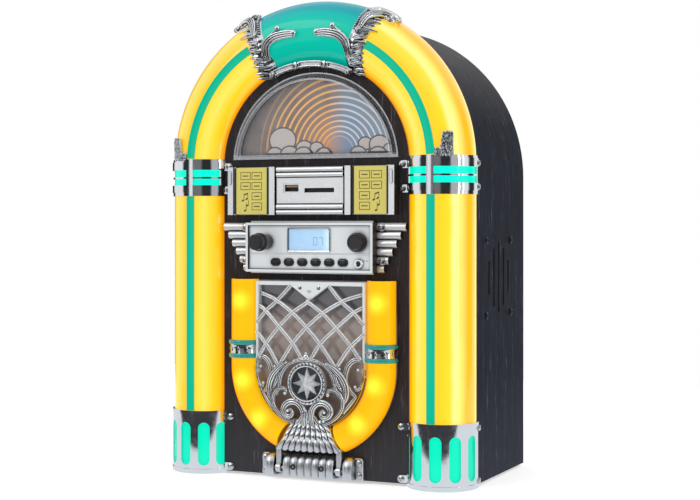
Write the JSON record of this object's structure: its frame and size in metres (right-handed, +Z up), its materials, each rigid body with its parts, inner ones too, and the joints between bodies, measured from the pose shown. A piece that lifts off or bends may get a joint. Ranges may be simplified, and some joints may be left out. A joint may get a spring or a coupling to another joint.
{
  "type": "table-top jukebox",
  "caption": "Arch-topped table-top jukebox with lit column tubes, chrome trim, radio fascia, drop-down disc door and side speakers.",
  "frame": {"origin": "on the floor under the middle of the overall footprint, which runs from the volume knob's front to the cabinet's rear edge", "axes": "+Z up, front faces -Y, +X to the right as seen from the front"},
  "size_m": [0.2688, 0.1688, 0.3835],
  "materials": {
    "black_vinyl": "wood-grain vinyl, satin",
    "black_board": "plain black board",
    "rubber": "matt",
    "screw_steel": "bright plated",
    "amber_plastic": "translucent gloss",
    "door_amber": "translucent gloss, lit from behind",
    "teal_plastic": "translucent gloss",
    "aqua_lens": "translucent, lit from behind",
    "chrome_trim": "mirror bright plating",
    "ring_trim": "bright plating with painted edges",
    "led_board": "white board with light emitters",
    "clear_window": "clear moulded plastic",
    "artwork": "printed card",
    "silver_plastic": "silver paint, satin",
    "card_print": "printed card",
    "circuit_board": "board with fused components",
    "lcd_glass": "back-lit display",
    "charcoal_plastic": "satin",
    "smoked_plastic": "smoked, reflective",
    "black_plastic": "moulded",
    "white_plastic": "moulded",
    "speaker_metal": "black paint",
    "speaker_paper": "pressed paper",
    "rocker_plastic": "gloss"
  },
  "bodies": {
    "cabinet": {"cabinet_shell": "black_vinyl", "front_panel": "black_vinyl", "rear_panel": "black_board", "base_panel": "black_board", "rubber_feet": "rubber", "screws": "screw_steel", "column_tube_left": "amber_plastic", "column_tube_right": "amber_plastic", "arch_tube_left": "amber_plastic", "arch_tube_right": "amber_plastic", "tube_stripes": "teal_plastic", "crown_lens": "teal_plastic", "crown_ornament": "chrome_trim", "collar_left": "chrome_trim", "collar_right": "chrome_trim", "collar_lenses": "aqua_lens", "foot_left": "chrome_trim", "foot_right": "chrome_trim", "foot_lenses": "aqua_lens", "led_strips": "led_board", "window_cover": "clear_window", "artwork_panel": "artwork", "selector_frame": "silver_plastic", "title_card_left": "card_print", "title_card_right": "card_print", "port_plate": "silver_plastic", "media_board": "circuit_board", "radio_fascia": "silver_plastic", "wing_left": "silver_plastic", "wing_right": "silver_plastic", "display": "lcd_glass", "control_board": "circuit_board", "hinge_bracket": "chrome_trim", "hinge_pins": "screw_steel", "cd_tray": "black_plastic", "speaker_left": "speaker_metal", "speaker_right": "speaker_metal", "main_board": "circuit_board", "rear_jack_plate": "black_plastic"},
    "door": {"door_panel": "smoked_plastic", "door_grille": "chrome_trim", "door_tube_left": "door_amber", "door_tube_right": "door_amber", "tube_rings": "ring_trim", "door_led_strips": "led_board"},
    "volume_knob": {"volume_knob": "charcoal_plastic"},
    "tuning_knob": {"tuning_knob": "charcoal_plastic"},
    "button_1": {"button_1": "charcoal_plastic"},
    "button_2": {"button_2": "charcoal_plastic"},
    "button_3": {"button_3": "charcoal_plastic"},
    "button_4": {"button_4": "charcoal_plastic"},
    "button_5": {"button_5": "charcoal_plastic"},
    "button_6": {"button_6": "charcoal_plastic"},
    "turntable": {"turntable": "black_plastic"},
    "laser_sled": {"laser_sled": "black_plastic"},
    "sled_gear": {"sled_gear": "white_plastic"},
    "power_rocker": {"power_rocker": "rocker_plastic"},
    "latch_plunger": {"latch_plunger": "black_plastic"},
    "speaker_cone_left": {"cone_left": "speaker_paper"},
    "speaker_cone_right": {"cone_right": "speaker_paper"}
  },
  "joints": [
    {"name": "door_hinge", "type": "hinge", "parent": "cabinet", "child": "door", "pos_m": [0, -0.0636, 0.0095], "axis": [1, 0, 0], "range_deg": [0, 50]},
    {"name": "volume_turn", "type": "hinge", "parent": "cabinet", "child": "volume_knob", "pos_m": [-0.0376, -0.0639, 0.19], "axis": [0, -1, 0], "range_deg": [-150, 150]},
    {"name": "tuning_turn", "type": "hinge", "parent": "cabinet", "child": "tuning_knob", "pos_m": [0.043, -0.0639, 0.19], "axis": [0, -1, 0], "continuous": true},
    {"name": "button_1_press", "type": "slide", "parent": "cabinet", "child": "button_1", "axis": [0, 1, 0], "range_m": [0, 0.0012], "stiffness_N_per_m": 400},
    {"name": "button_2_press", "type": "slide", "parent": "cabinet", "child": "button_2", "axis": [0, 1, 0], "range_m": [0, 0.0012], "stiffness_N_per_m": 400},
    {"name": "button_3_press", "type": "slide", "parent": "cabinet", "child": "button_3", "axis": [0, 1, 0], "range_m": [0, 0.0012], "stiffness_N_per_m": 400},
    {"name": "button_4_press", "type": "slide", "parent": "cabinet", "child": "button_4", "axis": [0, 1, 0], "range_m": [0, 0.0012], "stiffness_N_per_m": 400},
    {"name": "button_5_press", "type": "slide", "parent": "cabinet", "child": "button_5", "axis": [0, 1, 0], "range_m": [0, 0.0012], "stiffness_N_per_m": 400},
    {"name": "button_6_press", "type": "slide", "parent": "cabinet", "child": "button_6", "axis": [0, 1, 0], "range_m": [0, 0.0012], "stiffness_N_per_m": 400},
    {"name": "turntable_spin", "type": "hinge", "parent": "cabinet", "child": "turntable", "pos_m": [0, -0.0426, 0.09], "axis": [0, -1, 0], "continuous": true},
    {"name": "laser_slide", "type": "slide", "parent": "cabinet", "child": "laser_sled", "axis": [1, 0, 0], "range_m": [0, 0.033]},
    {"name": "sled_gear_turn", "type": "hinge", "parent": "cabinet", "child": "sled_gear", "pos_m": [0.04, -0.0336, 0.066], "axis": [0, 1, 0], "range_deg": [-5, 343]},
    {"name": "power_rock", "type": "hinge", "parent": "cabinet", "child": "power_rocker", "pos_m": [0.04, 0.0774, 0.06], "axis": [1, 0, 0], "range_deg": [-16, 0]},
    {"name": "latch_press", "type": "slide", "parent": "cabinet", "child": "latch_plunger", "axis": [0, 1, 0], "range_m": [0, 0.003], "stiffness_N_per_m": 300},
    {"name": "cone_left_travel", "type": "slide", "parent": "cabinet", "child": "speaker_cone_left", "axis": [1, 0, 0], "range_m": [-0.001, 0.001], "stiffness_N_per_m": 1500},
    {"name": "cone_right_travel", "type": "slide", "parent": "cabinet", "child": "speaker_cone_right", "axis": [1, 0, 0], "range_m": [-0.001, 0.001], "stiffness_N_per_m": 1500}
  ],
  "couplings": [
    {"joint": "sled_gear_turn", "follows": "laser_slide", "rad_per_m": 178.57}
  ]
}
